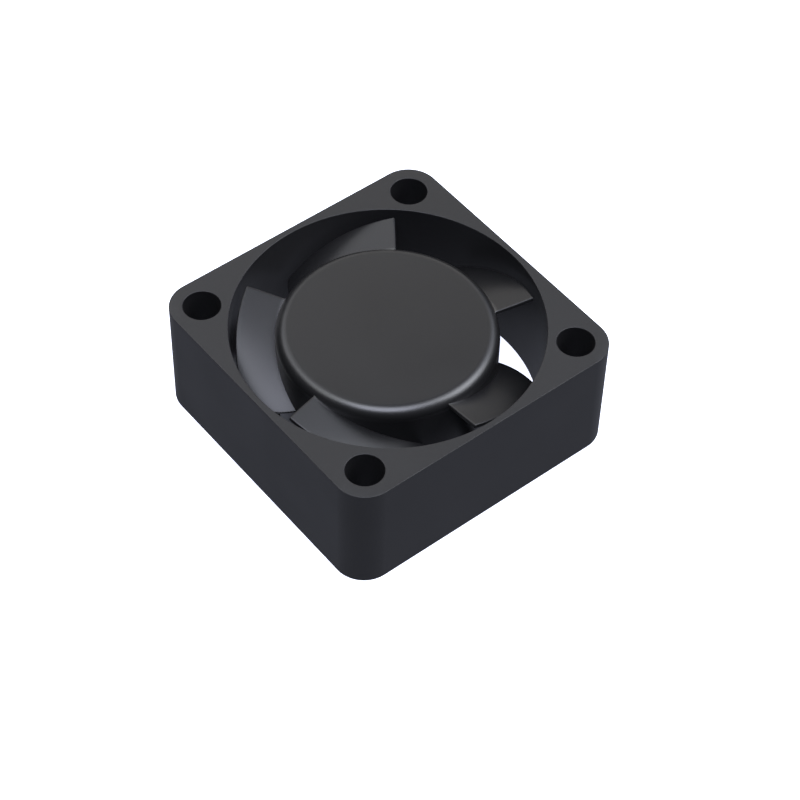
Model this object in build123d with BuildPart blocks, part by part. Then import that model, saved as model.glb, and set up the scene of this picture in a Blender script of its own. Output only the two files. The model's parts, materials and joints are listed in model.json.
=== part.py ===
from build123d import *
from math import cos, radians, sin
import os

# Square axial cooling fan with a brushless motor in its hub. Millimetres.
# The origin is the centre of the outlet face, and +Z runs along the rotor axis to the inlet.

# Housing
frame_side = 25.0
frame_height = 10.0
frame_corner_r = 2.5
frame_edge_r = 0.12
duct_wall = 0.5
hole_inset = 2.5
hole_d = 2.9

# Motor base and the struts that carry it
base_overhang = 0.2
base_t = 1.1
base_recess = 0.2
base_edge_r = 0.25
strut_count = 4
strut_first_angle = 20.0
strut_w = 1.5
strut_h = 1.1
strut_round_r = 0.45
board_step_w = 0.8
board_step_h = 0.2
collar_t = 0.6
collar_over_board = 0.1
tube_lip_t = 0.3
tube_lip_w = 0.4

# Channel for the two leads, on the outlet side of one strut
lead_strut_index = 1
lead_strut_w = 2.8
lead_strut_h = 1.4
lead_channel_w = 1.8
lead_channel_h = 0.7
lead_slot_l = 1.1
lead_slot_r = 5.8

# Hub
hub_d = 17.0
hub_setback = 0.3
hub_top_t = 0.6
hub_wall = 0.6
hub_edge_r = 0.9
hub_inner_r = 0.4
skirt_gap = 0.5

# Blades, measured along the blade's camber line
blade_count = 5
blade_first_angle = 49.0
blade_t = 0.34
blade_tip_gap = 0.5
blade_lead_setback = 0.45
blade_lead_root_drop = 0.5
blade_lead_lag = 1.6
blade_depth = 4.5
blade_wrap_tip = 45.0
blade_wrap_root = 56.7
blade_trail_bow = 0.3
blade_camber = 0.35
blade_root_bury = 0.3

# Rotor parts
yoke_t = 0.4
yoke_rim_rise = 1.18
yoke_bend_gap = 0.1
magnet_t = 1.0
magnet_rim_inset = 0.25
magnet_top_gap = 0.15
boss_neck_d = 3.2
boss_flange_d = 4.4
boss_flange_t = 0.66
shaft_d = 1.5
shaft_end_z = 0.45
shaft_chamfer = 0.12
shaft_top_gap = 0.2

# Retaining ring and its groove
ring_t = 0.2
ring_od = 2.1
ring_groove_depth = 0.15
ring_mouth_w = 0.8

# Ball bearings
bearing_od = 4.0
bearing_w = 2.0
ball_d = 0.8
ball_count = 7
race_gap = 0.015
land_offset = 0.255
shield_t = 0.1
shield_inset = 0.05
shield_seat_w = 0.1
shield_bore_gap = 0.08
cage_t = 0.33
cage_back = 0.62
cage_front = 0.2
cage_pocket_gap = 0.03

# Bearing tube
tube_wall = 0.48
lower_bearing_z = 1.0
tube_top_lip = 0.1

# Preload spring
spring_wire_d = 0.16
spring_shaft_gap = 0.09
spring_turn_gap = 0.05
spring_turns = 3

# Stator
pole_count = 4
pole_first_angle = 20.0
air_gap = 0.36
lamination_t = 0.48
lamination_gap = 0.02
core_wall = 0.8
arm_w = 1.6
shoe_t = 0.7
slot_mouth_w = 1.4
coil_top_gap = 0.85
coil_foot_gap = 0.83
insulator_t = 0.35
insulator_skirt_t = 0.25
insulator_guard_h = 0.55
insulator_guard_t = 0.3
insulator_guard_w = 5.6
coil_t = 0.75
coil_corner_r = 0.5
coil_end_gap = 0.05

# Terminal pins and their carriers
pin_d = 0.4
pin_step_gap = 0.2
pin_tail = 0.1
pin_head = 0.1
pin_hole_gap = 0.1
carrier_w = 0.9
carrier_t = 0.8
carrier_overhang = 0.5
solder_d = 1.0
solder_h = 0.35

# Circuit board and the chips on it
board_rotor_gap = 0.7
board_t = 0.5
board_bore_gap = 0.2
chip_lift = 0.02
driver_angle = 290.0
driver_edge_gap = 0.2
driver_l = 2.9
driver_w = 1.6
driver_h = 0.72
driver_chamfer = 0.12
driver_lead_w = 0.35
driver_lead_t = 0.13
driver_lead_pitch = 0.95
driver_lead_reach = 0.6
driver_lead_foot = 0.3
driver_lead_z = 0.36
driver_leads_per_side = 3
chip_edge_gap = 1.4
chip_l = 1.6
chip_w = 0.8
chip_cap_l = 0.3
chip_cap_over = 0.02
capacitor_angle = 200.0
capacitor_h = 0.7
resistor_angle = 20.0
resistor_h = 0.42
pad_slot_gap = 0.25
pad_l = 1.1
pad_w = 0.8
pad_t = 0.06
pad_pitch = 1.3

# Fits
press_gap = 0.01
seat_gap = 0.02

# Radii and diameters that mating pieces share
bore_d = frame_side - 2 * duct_wall
hole_pitch = frame_side - 2 * hole_inset
bore_r = bore_d / 2
hub_r = hub_d / 2
base_d = hub_d + 2 * base_overhang
hub_cavity_r = hub_r - hub_wall
blade_tip_r = bore_r - blade_tip_gap
yoke_r = hub_cavity_r - press_gap
yoke_bend_r = hub_inner_r + yoke_bend_gap
magnet_r = yoke_r - yoke_t - press_gap
magnet_bore_r = magnet_r - magnet_t
stator_r = magnet_bore_r - air_gap
shoe_inner_r = stator_r - shoe_t
shaft_r = shaft_d / 2
bearing_pitch_d = (bearing_od + shaft_d) / 2
ball_pitch_r = bearing_pitch_d / 2
race_r = ball_d / 2 + race_gap
inner_land_r = ball_pitch_r - land_offset
outer_land_r = ball_pitch_r + land_offset
tube_bore_r = bearing_od / 2 + press_gap
tube_shoulder_r = outer_land_r + seat_gap
tube_r = tube_bore_r + tube_wall + press_gap
core_bore_r = tube_r + press_gap
core_r = core_bore_r + core_wall
collar_r = tube_r + collar_t
board_step_r = collar_r + board_step_w
board_bore_r = collar_r + board_bore_gap
board_r = hub_cavity_r - board_rotor_gap
pin_ring_r = board_step_r + pin_step_gap + pin_d / 2
pad_ring_r = lead_slot_r - pad_slot_gap - pad_l / 2
driver_ring_r = board_r - driver_edge_gap - driver_lead_reach - driver_w / 2
chip_ring_r = board_r - chip_edge_gap - chip_w / 2

# Levels above the outlet face
base_top_z = base_recess + base_t
board_z = base_top_z + board_step_h
board_top_z = board_z + board_t
chip_z = board_top_z + chip_lift
chip_top_z = chip_z + max(driver_h, capacitor_h + chip_cap_over)
collar_top_z = board_top_z + collar_over_board
skirt_z = base_top_z + skirt_gap
hub_top_z = frame_height - hub_setback
hub_ceiling_z = hub_top_z - hub_top_t
yoke_top_z = hub_ceiling_z - seat_gap
yoke_ceiling_z = yoke_top_z - yoke_t
yoke_rim_z = skirt_z + yoke_rim_rise
boss_flange_top_z = yoke_ceiling_z - seat_gap
boss_z = boss_flange_top_z - boss_flange_t
spring_pitch = spring_wire_d + spring_turn_gap
spring_rise = spring_turns * spring_pitch
spring_z = boss_z - seat_gap - spring_wire_d / 2 - spring_rise
upper_bearing_top_z = spring_z - spring_wire_d / 2 - seat_gap
upper_bearing_z = upper_bearing_top_z - bearing_w
upper_bearing_mid_z = upper_bearing_z + bearing_w / 2
lower_bearing_top_z = lower_bearing_z + bearing_w
lower_bearing_mid_z = lower_bearing_z + bearing_w / 2
tube_top_z = upper_bearing_top_z + tube_top_lip
tube_z = base_recess + tube_lip_t

# The coils fill the height between the chips and the rotor, and the stack follows them
coil_top_z = yoke_ceiling_z - coil_top_gap
coil_foot_z = chip_top_z + coil_foot_gap
stack_mid_z = (coil_top_z + coil_foot_z) / 2
stack_room = coil_top_z - coil_foot_z - 2 * (coil_t + insulator_t + 2 * seat_gap)
lamination_pitch = lamination_t + lamination_gap
lamination_count = max(round((stack_room + lamination_gap) / lamination_pitch), 1)
stack_h = lamination_count * lamination_pitch - lamination_gap
stack_z = stack_mid_z - stack_h / 2
stack_top_z = stack_mid_z + stack_h / 2
insulator_plate_z = stack_top_z + seat_gap
insulator_plate_top_z = insulator_plate_z + insulator_t
coil_half_h = insulator_plate_top_z - stack_mid_z + seat_gap

os.makedirs("parts", exist_ok=True)


def save(piece, name):
    """Label a finished piece and write it as its own file."""
    piece.part.label = name
    export_step(piece.part, f"parts/{name}.step")


def radial_plane(angle, radius, height):
    """Plane facing outwards at this angle and radius, its x along the circle."""
    turn = radians(angle)
    return Plane(
        origin=(radius * cos(turn), radius * sin(turn), height),
        x_dir=(-sin(turn), cos(turn), 0),
        z_dir=(cos(turn), sin(turn), 0),
    )


# Housing: square duct, base, struts, collar and lead channel, moulded in one

strut_angles = [strut_first_angle + i * 360 / strut_count for i in range(strut_count)]
lead_angle = strut_angles[lead_strut_index]
strut_root_r = base_d / 2 - base_edge_r - strut_w / 2
strut_reach = (bore_r + frame_side / 2) / 2

with BuildPart() as frame:
    with BuildSketch():
        RectangleRounded(frame_side, frame_side, frame_corner_r)
        Circle(bore_r, mode=Mode.SUBTRACT)
        with GridLocations(hole_pitch, hole_pitch, 2, 2):
            Circle(hole_d / 2, mode=Mode.SUBTRACT)
    extrude(amount=frame_height)
    outer_edges = frame.edges().filter_by(
        lambda e: max(abs(v.X) for v in e.vertices()) > frame_side / 2 - frame_corner_r - frame_edge_r
        and max(abs(v.Y) for v in e.vertices()) > frame_side / 2 - frame_corner_r - frame_edge_r
        and e.bounding_box().size.Z < frame_edge_r
        and e.length > hole_d
    )
    fillet(outer_edges, radius=frame_edge_r)
    with BuildSketch(Plane.XY.offset(base_recess)):
        Circle(base_d / 2)
    extrude(amount=base_t)
    base_rim = frame.edges().filter_by(GeomType.CIRCLE).filter_by(
        lambda e: abs(e.radius - base_d / 2) < frame_edge_r and e.center().Z > base_recess + base_t / 2
    )
    fillet(base_rim, radius=base_edge_r)
    for angle in strut_angles:
        wide = lead_strut_w if angle == lead_angle else strut_w
        tall = lead_strut_h if angle == lead_angle else strut_h
        with BuildSketch(radial_plane(angle, strut_root_r, base_recess + tall / 2)) as strut_section:
            Rectangle(wide, tall)
            fillet(strut_section.vertices().group_by(Axis.Y)[-1], radius=strut_round_r)
        extrude(amount=strut_reach - strut_root_r)
    with BuildSketch(Plane.XY.offset(base_top_z)):
        Circle(board_step_r)
    extrude(amount=board_step_h)
    with BuildSketch(Plane.XY.offset(base_top_z)):
        Circle(collar_r)
    extrude(amount=collar_top_z - base_top_z)
    with BuildSketch(Plane.XY.offset(tube_z)):
        Circle(tube_r)
    extrude(amount=frame_height, mode=Mode.SUBTRACT)
    with BuildSketch():
        Circle(tube_r - tube_lip_w)
    extrude(amount=frame_height, mode=Mode.SUBTRACT)
    with BuildSketch(radial_plane(lead_angle, lead_slot_r, (base_recess + lead_channel_h) / 2)):
        Rectangle(lead_channel_w, base_recess + lead_channel_h)
    extrude(amount=frame_side, mode=Mode.SUBTRACT)
    with BuildSketch(radial_plane(lead_angle, lead_slot_r, base_top_z / 2)):
        Rectangle(lead_channel_w, base_top_z)
    extrude(amount=lead_slot_l, mode=Mode.SUBTRACT)
save(frame, "frame")


# Impeller: hub cup with cambered blades, moulded in one

def blade_point(radius, share):
    """Point of the camber surface, share running from the leading to the trailing edge."""
    inboard = (blade_tip_r - radius) / (blade_tip_r - hub_r)
    bowed = inboard * (1 + blade_trail_bow * (1 - inboard))
    wrap = blade_wrap_tip + (blade_wrap_root - blade_wrap_tip) * bowed + blade_lead_lag * inboard
    angle = radians(blade_first_angle - blade_lead_lag * inboard + wrap * share)
    lead_z = frame_height - blade_lead_setback - blade_lead_root_drop * inboard
    trail_z = frame_height - blade_depth
    fall = share * (1 - blade_camber * (1 - share))
    return Vector(radius * cos(angle), radius * sin(angle), lead_z + (trail_z - lead_z) * fall)


blade_root_r = hub_r - blade_root_bury
blade_outer_r = bore_r - blade_tip_gap / 2
radial_steps = 6
chord_steps = 10
blade_grid = [
    [
        blade_point(blade_root_r + (blade_outer_r - blade_root_r) * i / radial_steps, j / chord_steps)
        for j in range(chord_steps + 1)
    ]
    for i in range(radial_steps + 1)
]
blade_camber_face = Face.make_surface_from_array_of_points(blade_grid, tol=0.002)

with BuildPart() as blade:
    thicken(blade_camber_face, amount=blade_t / 2, both=True)
    with BuildSketch():
        Circle(blade_tip_r)
    extrude(amount=frame_height, mode=Mode.INTERSECT)

with BuildPart() as impeller:
    with BuildSketch(Plane.XZ):
        with BuildLine():
            Polyline(
                (0, hub_ceiling_z),
                (hub_cavity_r, hub_ceiling_z),
                (hub_cavity_r, skirt_z),
                (hub_r, skirt_z),
                (hub_r, hub_top_z),
                (0, hub_top_z),
                close=True,
            )
        make_face()
    revolve(axis=Axis.Z)
    rims = impeller.edges().filter_by(GeomType.CIRCLE)
    fillet(rims.filter_by(lambda e: e.center().Z > hub_top_z - hub_top_t / 2), radius=hub_edge_r)
    fillet(rims.filter_by(lambda e: abs(e.center().Z - hub_ceiling_z) < hub_top_t / 2), radius=hub_inner_r)
    with PolarLocations(0, blade_count):
        add(blade.part)
save(impeller, "impeller")


# Rotor: flux cup, ring magnet, boss and shaft

def ring(inner_r, outer_r, low_z, high_z):
    """Plain ring about the rotor axis."""
    with BuildPart() as piece:
        with BuildSketch(Plane.XY.offset(low_z)):
            Circle(outer_r)
            Circle(inner_r, mode=Mode.SUBTRACT)
        extrude(amount=high_z - low_z)
    return piece


with BuildPart() as rotor_yoke:
    with BuildSketch(Plane.XZ) as yoke_profile:
        with BuildLine():
            Polyline(
                (boss_neck_d / 2 + press_gap, yoke_ceiling_z),
                (yoke_r - yoke_t, yoke_ceiling_z),
                (yoke_r - yoke_t, yoke_rim_z),
                (yoke_r, yoke_rim_z),
                (yoke_r, yoke_top_z),
                (boss_neck_d / 2 + press_gap, yoke_top_z),
                close=True,
            )
        make_face()
        outer_corner = yoke_profile.vertices().sort_by(Axis.X)[-2:].sort_by(Axis.Y)[-1]
        fillet(outer_corner, radius=yoke_bend_r)
    revolve(axis=Axis.Z)
save(rotor_yoke, "rotor_yoke")

magnet_top_z = yoke_ceiling_z - magnet_top_gap
rotor_magnet = ring(magnet_bore_r, magnet_r, yoke_rim_z + magnet_rim_inset, magnet_top_z)
save(rotor_magnet, "rotor_magnet")

with BuildPart() as shaft_boss:
    with BuildSketch(Plane.XY.offset(boss_z)):
        Circle(boss_flange_d / 2)
    extrude(amount=boss_flange_t)
    with BuildSketch(Plane.XY.offset(boss_z)):
        Circle(boss_neck_d / 2)
    extrude(amount=yoke_top_z - boss_z)
    with BuildSketch(Plane.XY.offset(boss_z)):
        Circle(shaft_r + press_gap)
    extrude(amount=yoke_top_z - boss_z, mode=Mode.SUBTRACT)
save(shaft_boss, "shaft_boss")

ring_groove_r = shaft_r - ring_groove_depth
ring_groove_top_z = lower_bearing_z
ring_groove_z = ring_groove_top_z - ring_t - 2 * seat_gap
shaft_top_z = yoke_top_z - shaft_top_gap

with BuildPart() as shaft:
    with BuildSketch(Plane.XZ):
        with BuildLine():
            Polyline(
                (0, shaft_end_z),
                (shaft_r - shaft_chamfer, shaft_end_z),
                (shaft_r, shaft_end_z + shaft_chamfer),
                (shaft_r, ring_groove_z),
                (ring_groove_r, ring_groove_z),
                (ring_groove_r, ring_groove_top_z),
                (shaft_r, ring_groove_top_z),
                (shaft_r, shaft_top_z - shaft_chamfer),
                (shaft_r - shaft_chamfer, shaft_top_z),
                (0, shaft_top_z),
                close=True,
            )
        make_face()
    revolve(axis=Axis.Z)
save(shaft, "shaft")

with BuildPart() as retaining_ring:
    with BuildSketch(Plane.XY.offset(ring_groove_z + seat_gap)):
        Circle(ring_od / 2)
        Circle(ring_groove_r + press_gap, mode=Mode.SUBTRACT)
        with Locations((ring_od / 2, 0)):
            Rectangle(ring_od, ring_mouth_w, mode=Mode.SUBTRACT)
    extrude(amount=ring_t)
save(retaining_ring, "retaining_ring")

spring_r = shaft_r + spring_shaft_gap + spring_wire_d / 2

with BuildPart() as preload_spring:
    with BuildLine():
        spring_line = Helix(spring_pitch, spring_rise, spring_r, center=(0, 0, spring_z))
    with BuildSketch(Plane(origin=spring_line @ 0, z_dir=spring_line % 0)):
        Circle(spring_wire_d / 2)
    sweep(is_frenet=True)
save(preload_spring, "preload_spring")


# Ball bearings, one above and one below the shoulder of the bearing tube

def bearing_outer_ring(mid_z):
    """Outer ring with its ball groove and the two shield seats."""
    ring_r = bearing_od / 2
    seat_h = shield_inset + shield_t + seat_gap
    with BuildPart() as piece:
        with BuildSketch(Plane.XZ):
            with Locations(((outer_land_r + ring_r) / 2, mid_z)):
                Rectangle(ring_r - outer_land_r, bearing_w)
            with Locations((ball_pitch_r, mid_z)):
                Circle(race_r, mode=Mode.SUBTRACT)
            with Locations((outer_land_r, mid_z)):
                with GridLocations(0, bearing_w - seat_h, 1, 2):
                    Rectangle(2 * (shield_seat_w + press_gap), seat_h, mode=Mode.SUBTRACT)
        revolve(axis=Axis.Z)
    return piece


def bearing_inner_ring(mid_z):
    """Inner ring with its ball groove."""
    seat_r = shaft_r + press_gap
    with BuildPart() as piece:
        with BuildSketch(Plane.XZ):
            with Locations(((inner_land_r + seat_r) / 2, mid_z)):
                Rectangle(inner_land_r - seat_r, bearing_w)
            with Locations((ball_pitch_r, mid_z)):
                Circle(race_r, mode=Mode.SUBTRACT)
        revolve(axis=Axis.Z)
    return piece


def bearing_balls(mid_z):
    """Balls on their pitch circle."""
    with BuildPart(Plane.XY.offset(mid_z)) as piece:
        with PolarLocations(ball_pitch_r, ball_count):
            Sphere(ball_d / 2)
    return piece


def bearing_cage(mid_z):
    """Crown cage, closed below the balls and open above them."""
    with BuildPart() as piece:
        with BuildSketch(Plane.XY.offset(mid_z - cage_back)):
            Circle(ball_pitch_r + cage_t / 2)
            Circle(ball_pitch_r - cage_t / 2, mode=Mode.SUBTRACT)
        extrude(amount=cage_back + cage_front)
        with Locations((0, 0, mid_z)):
            with PolarLocations(ball_pitch_r, ball_count):
                Sphere(ball_d / 2 + cage_pocket_gap, mode=Mode.SUBTRACT)
    return piece


def bearing_shields(mid_z):
    """Two thin shields, one in each face of the outer ring."""
    with BuildPart() as piece:
        for face_z in (shield_inset, bearing_w - shield_inset - shield_t):
            with BuildSketch(Plane.XY.offset(mid_z - bearing_w / 2 + face_z)):
                Circle(outer_land_r + shield_seat_w)
                Circle(inner_land_r + shield_bore_gap, mode=Mode.SUBTRACT)
            extrude(amount=shield_t)
    return piece


for place, mid_z in (("lower", lower_bearing_mid_z), ("upper", upper_bearing_mid_z)):
    save(bearing_outer_ring(mid_z), f"{place}_bearing_outer_ring")
    save(bearing_inner_ring(mid_z), f"{place}_bearing_inner_ring")
    save(bearing_balls(mid_z), f"{place}_bearing_balls")
    save(bearing_cage(mid_z), f"{place}_bearing_cage")
    save(bearing_shields(mid_z), f"{place}_bearing_shields")

with BuildPart() as bearing_tube:
    with BuildSketch(Plane.XY.offset(tube_z)):
        Circle(tube_r - press_gap)
        Circle(tube_shoulder_r, mode=Mode.SUBTRACT)
    extrude(amount=tube_top_z - tube_z)
    with BuildSketch(Plane.XY.offset(upper_bearing_z)):
        Circle(tube_bore_r)
    extrude(amount=tube_top_z - upper_bearing_z, mode=Mode.SUBTRACT)
    with BuildSketch(Plane.XY.offset(tube_z)):
        Circle(tube_bore_r)
    extrude(amount=lower_bearing_top_z - tube_z, mode=Mode.SUBTRACT)
save(bearing_tube, "bearing_tube")


# Stator: laminations, the two halves of the bobbin, coils and terminal pins

slot_first_angle = pole_first_angle + 180 / pole_count
pole_angles = [pole_first_angle + i * 360 / pole_count for i in range(pole_count)]
arm_l = shoe_inner_r - core_bore_r
arm_mid_r = core_bore_r + arm_l / 2

with BuildSketch() as lamination_outline:
    Circle(stator_r)
    Circle(shoe_inner_r, mode=Mode.SUBTRACT)
    with PolarLocations(stator_r, pole_count, start_angle=slot_first_angle):
        Rectangle(4 * shoe_t, slot_mouth_w, mode=Mode.SUBTRACT)
    Circle(core_r)
    with PolarLocations(arm_mid_r, pole_count, start_angle=pole_first_angle):
        Rectangle(arm_l + shoe_t, arm_w)
    Circle(core_bore_r, mode=Mode.SUBTRACT)

with BuildPart() as stator_laminations:
    for layer in range(lamination_count):
        with BuildSketch(Plane.XY.offset(stack_z + layer * lamination_pitch)):
            add(lamination_outline.sketch)
        extrude(amount=lamination_t)
save(stator_laminations, "stator_laminations")

skirt_mid = arm_w / 2 + press_gap + insulator_skirt_t / 2
sleeved_arm_w = arm_w + 2 * (press_gap + insulator_skirt_t)
skirt_outer_r = (shoe_inner_r**2 - (sleeved_arm_w / 2) ** 2) ** 0.5 - seat_gap
skirt_l = skirt_outer_r - core_r - seat_gap
guard_r = shoe_inner_r + insulator_guard_t
guard_top_z = insulator_plate_top_z + insulator_guard_h

with BuildPart() as upper_insulator:
    with BuildSketch(Plane.XY.offset(insulator_plate_z)):
        Circle(core_r)
        with PolarLocations((core_bore_r + guard_r) / 2, pole_count, start_angle=pole_first_angle):
            Rectangle(guard_r - core_bore_r, sleeved_arm_w)
        Circle(guard_r, mode=Mode.INTERSECT)
        Circle(core_bore_r, mode=Mode.SUBTRACT)
    extrude(amount=insulator_t)
    with BuildSketch(Plane.XY.offset(insulator_plate_z)):
        with PolarLocations(shoe_inner_r, pole_count, start_angle=pole_first_angle):
            Rectangle(shoe_t, insulator_guard_w)
        Circle(guard_r, mode=Mode.INTERSECT)
        Circle(shoe_inner_r, mode=Mode.SUBTRACT)
    extrude(amount=guard_top_z - insulator_plate_z)
    with BuildSketch(Plane.XY.offset(insulator_plate_z)):
        Circle(collar_r)
        Circle(core_bore_r, mode=Mode.SUBTRACT)
    extrude(amount=guard_top_z - insulator_plate_z)
    with BuildSketch(Plane.XY.offset(stack_mid_z + seat_gap / 2)):
        with PolarLocations(core_r + seat_gap + skirt_l / 2, pole_count, start_angle=pole_first_angle):
            with GridLocations(0, 2 * skirt_mid, 1, 2):
                Rectangle(skirt_l, insulator_skirt_t)
    extrude(amount=insulator_plate_top_z - stack_mid_z - seat_gap / 2)
save(upper_insulator, "upper_insulator")

carrier_top_z = stack_z - seat_gap
carrier_l = pin_ring_r + carrier_overhang - core_bore_r

with BuildPart() as lower_insulator:
    mirror(upper_insulator.part, about=Plane.XY.offset(stack_mid_z))
    with BuildSketch(Plane.XY.offset(collar_top_z + seat_gap)):
        Circle(collar_r)
        Circle(core_bore_r, mode=Mode.SUBTRACT)
    extrude(amount=carrier_top_z - collar_top_z - seat_gap)
    with BuildSketch(Plane.XY.offset(carrier_top_z - carrier_t)):
        with PolarLocations(core_bore_r + carrier_l / 2, pole_count, start_angle=slot_first_angle):
            Rectangle(carrier_l, carrier_w)
        Circle(core_bore_r + press_gap, mode=Mode.SUBTRACT)
        with PolarLocations(pin_ring_r, pole_count, start_angle=slot_first_angle):
            Circle(pin_d / 2 + press_gap, mode=Mode.SUBTRACT)
    extrude(amount=carrier_t)
save(lower_insulator, "lower_insulator")

coil_inner_half_w = sleeved_arm_w / 2 + seat_gap
coil_outer_half_w = coil_inner_half_w + coil_t
coil_inner_r = core_r + coil_end_gap
coil_outer_r = (shoe_inner_r**2 - coil_outer_half_w**2) ** 0.5 - coil_end_gap

for number, angle in enumerate(pole_angles, start=1):
    with BuildPart() as coil:
        with BuildSketch(radial_plane(angle, coil_inner_r, stack_mid_z)):
            RectangleRounded(2 * coil_outer_half_w, 2 * (coil_half_h + coil_t), coil_corner_r)
            Rectangle(2 * coil_inner_half_w, 2 * coil_half_h, mode=Mode.SUBTRACT)
        extrude(amount=coil_outer_r - coil_inner_r)
    save(coil, f"coil_{number}")

with BuildPart() as terminal_pins:
    with BuildSketch(Plane.XY.offset(board_z - pin_tail)):
        with PolarLocations(pin_ring_r, pole_count, start_angle=slot_first_angle):
            Circle(pin_d / 2)
    extrude(amount=carrier_top_z + pin_head - board_z + pin_tail)
save(terminal_pins, "terminal_pins")


# Circuit board with its Hall driver, chips, pads and solder

with BuildPart() as circuit_board:
    with BuildSketch(Plane.XY.offset(board_z)):
        Circle(board_r)
        Circle(board_bore_r, mode=Mode.SUBTRACT)
        with PolarLocations(pin_ring_r, pole_count, start_angle=slot_first_angle):
            Circle(pin_d / 2 + pin_hole_gap, mode=Mode.SUBTRACT)
        with PolarLocations(lead_slot_r + board_r / 2, 1, start_angle=lead_angle):
            Rectangle(board_r, lead_channel_w, mode=Mode.SUBTRACT)
    extrude(amount=board_t)
save(circuit_board, "circuit_board")

def board_plane(angle, radius):
    """Plane on top of the board at this angle and radius, its x along the circle."""
    turn = radians(angle)
    return Plane(
        origin=(radius * cos(turn), radius * sin(turn), chip_z),
        x_dir=(-sin(turn), cos(turn), 0),
        z_dir=(0, 0, 1),
    )


with BuildPart() as pin_solder:
    with Locations((0, 0, chip_z + solder_h / 2)):
        with PolarLocations(pin_ring_r, pole_count, start_angle=slot_first_angle):
            Cone(solder_d / 2, pin_d / 2 + solder_h / 4, solder_h)
            Cylinder(pin_d / 2 + press_gap, solder_h, mode=Mode.SUBTRACT)
save(pin_solder, "pin_solder")

with BuildPart() as driver_ic:
    with BuildSketch(board_plane(driver_angle, driver_ring_r)):
        Rectangle(driver_l, driver_w)
    extrude(amount=driver_h)
    chamfer(driver_ic.faces().sort_by(Axis.Z)[-1].edges(), length=driver_chamfer)
save(driver_ic, "driver_ic")

lead_span = (driver_leads_per_side - 1) / 2
lead_top = driver_lead_z + driver_lead_t / 2
lead_knee = driver_w / 2 + driver_lead_reach - driver_lead_foot
lead_tip = driver_w / 2 + driver_lead_reach

with BuildPart() as driver_ic_leads:
    for index in range(driver_leads_per_side):
        along = board_plane(driver_angle, driver_ring_r)
        lead_origin = along.origin + along.x_dir * (index - lead_span) * driver_lead_pitch
        for side in (1, -1):
            with BuildSketch(Plane(origin=lead_origin, x_dir=-along.y_dir * side, z_dir=-along.x_dir * side)):
                with BuildLine():
                    Polyline(
                        (driver_w / 2 + press_gap, lead_top),
                        (lead_knee, lead_top),
                        (lead_knee, driver_lead_t),
                        (lead_tip, driver_lead_t),
                        (lead_tip, 0),
                        (lead_knee - driver_lead_t, 0),
                        (lead_knee - driver_lead_t, lead_top - driver_lead_t),
                        (driver_w / 2 + press_gap, lead_top - driver_lead_t),
                        close=True,
                    )
                make_face()
            extrude(amount=driver_lead_w / 2, both=True)
save(driver_ic_leads, "driver_ic_leads")

chips = (("chip_capacitor", capacitor_angle, capacitor_h), ("chip_resistor", resistor_angle, resistor_h))
chip_core_l = chip_l - 2 * (chip_cap_l + press_gap)

for name, angle, height in chips:
    with BuildPart() as chip:
        with BuildSketch(board_plane(angle, chip_ring_r)):
            Rectangle(chip_core_l, chip_w)
        extrude(amount=height)
    save(chip, name)

with BuildPart() as chip_terminations:
    for name, angle, height in chips:
        with BuildSketch(board_plane(angle, chip_ring_r)):
            with GridLocations(chip_l - chip_cap_l, 0, 2, 1):
                Rectangle(chip_cap_l, chip_w + 2 * chip_cap_over)
        extrude(amount=height + chip_cap_over)
save(chip_terminations, "chip_terminations")

with BuildPart() as lead_pads:
    with BuildSketch(board_plane(lead_angle, pad_ring_r)):
        with GridLocations(pad_pitch, 0, 2, 1):
            Rectangle(pad_w, pad_l)
    extrude(amount=pad_t)
save(lead_pads, "lead_pads")
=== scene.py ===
import json
from math import cos, hypot, pi, radians, sin

import bmesh
import bpy
from bmesh.types import BMEdge, BMVert
from bpy.props import FloatProperty, FloatVectorProperty, IntProperty, PointerProperty
from mathutils import Matrix, Vector


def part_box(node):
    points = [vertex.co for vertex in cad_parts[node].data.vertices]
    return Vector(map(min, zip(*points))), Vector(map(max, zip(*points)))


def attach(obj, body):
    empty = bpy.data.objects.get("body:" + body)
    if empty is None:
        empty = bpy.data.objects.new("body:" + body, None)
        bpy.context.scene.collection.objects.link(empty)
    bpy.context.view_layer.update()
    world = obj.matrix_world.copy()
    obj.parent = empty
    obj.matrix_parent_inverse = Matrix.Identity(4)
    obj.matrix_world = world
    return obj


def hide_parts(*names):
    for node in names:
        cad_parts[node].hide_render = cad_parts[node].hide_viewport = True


bl_info = {
    "name": "Square cooling fan",
    "version": (1, 0, 0),
    "blender": (4, 5, 0),
    "location": "3D View > Sidebar > Fan",
    "description": "Builds the visible pieces of a 25 mm axial fan around its packed frame",
    "category": "Add Mesh",
}

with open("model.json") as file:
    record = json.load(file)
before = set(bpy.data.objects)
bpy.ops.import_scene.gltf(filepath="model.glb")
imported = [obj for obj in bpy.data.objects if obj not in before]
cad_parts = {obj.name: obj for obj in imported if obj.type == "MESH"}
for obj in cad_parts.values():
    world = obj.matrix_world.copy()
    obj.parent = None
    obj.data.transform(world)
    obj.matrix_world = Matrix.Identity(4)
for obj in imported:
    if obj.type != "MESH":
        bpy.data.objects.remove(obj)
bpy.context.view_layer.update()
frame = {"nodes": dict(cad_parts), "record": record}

MM = 0.001


def length(name, description, default_mm):
    """Property for a size of the fan, stored in metres."""
    return FloatProperty(name=name, description=description, default=default_mm * MM, min=0, precision=6,
                         subtype="DISTANCE", unit="LENGTH")


def colour(name, description, default):
    """Property for a base colour."""
    return FloatVectorProperty(name=name, description=description, default=default, min=0, max=1,
                               subtype="COLOR", size=3)


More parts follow.
